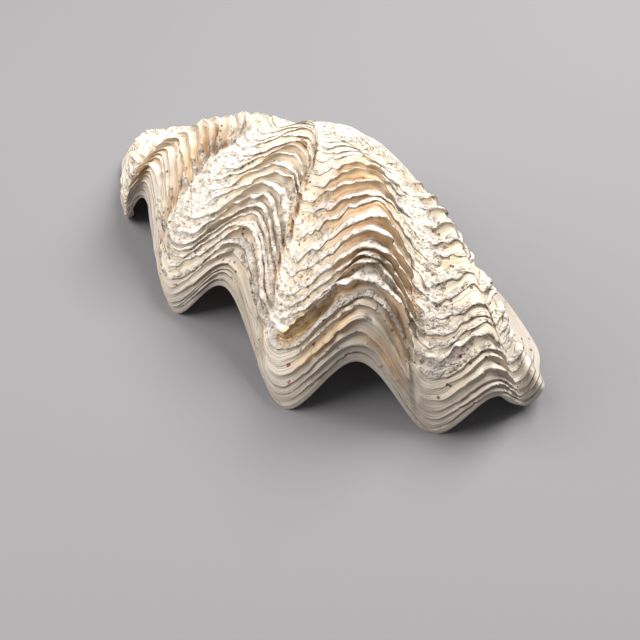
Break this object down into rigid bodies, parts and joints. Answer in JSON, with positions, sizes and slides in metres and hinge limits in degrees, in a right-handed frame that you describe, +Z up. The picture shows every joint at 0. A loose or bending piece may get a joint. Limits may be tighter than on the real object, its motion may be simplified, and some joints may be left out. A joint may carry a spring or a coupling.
{
  "type": "giant clam shell valve",
  "caption": "Single scalloped clam valve lying open side down: a domed shell with deep radial folds, stepped growth ledges, a zigzag edge and a flat hinge strip it rests on.",
  "frame": {"origin": "middle of the valve's footprint, on the surface it rests on", "axes": "+X along the hinge and the long side, -Y towards the scalloped edge, +Z up"},
  "size_m": [0.2586, 0.1353, 0.0845],
  "materials": {
    "shell": "chalky cream shell with tan crevices, grey crust on the ledges and a smoother pale rim"
  },
  "bodies": {
    "root": {"valve": "shell"}
  },
  "joints": []
}
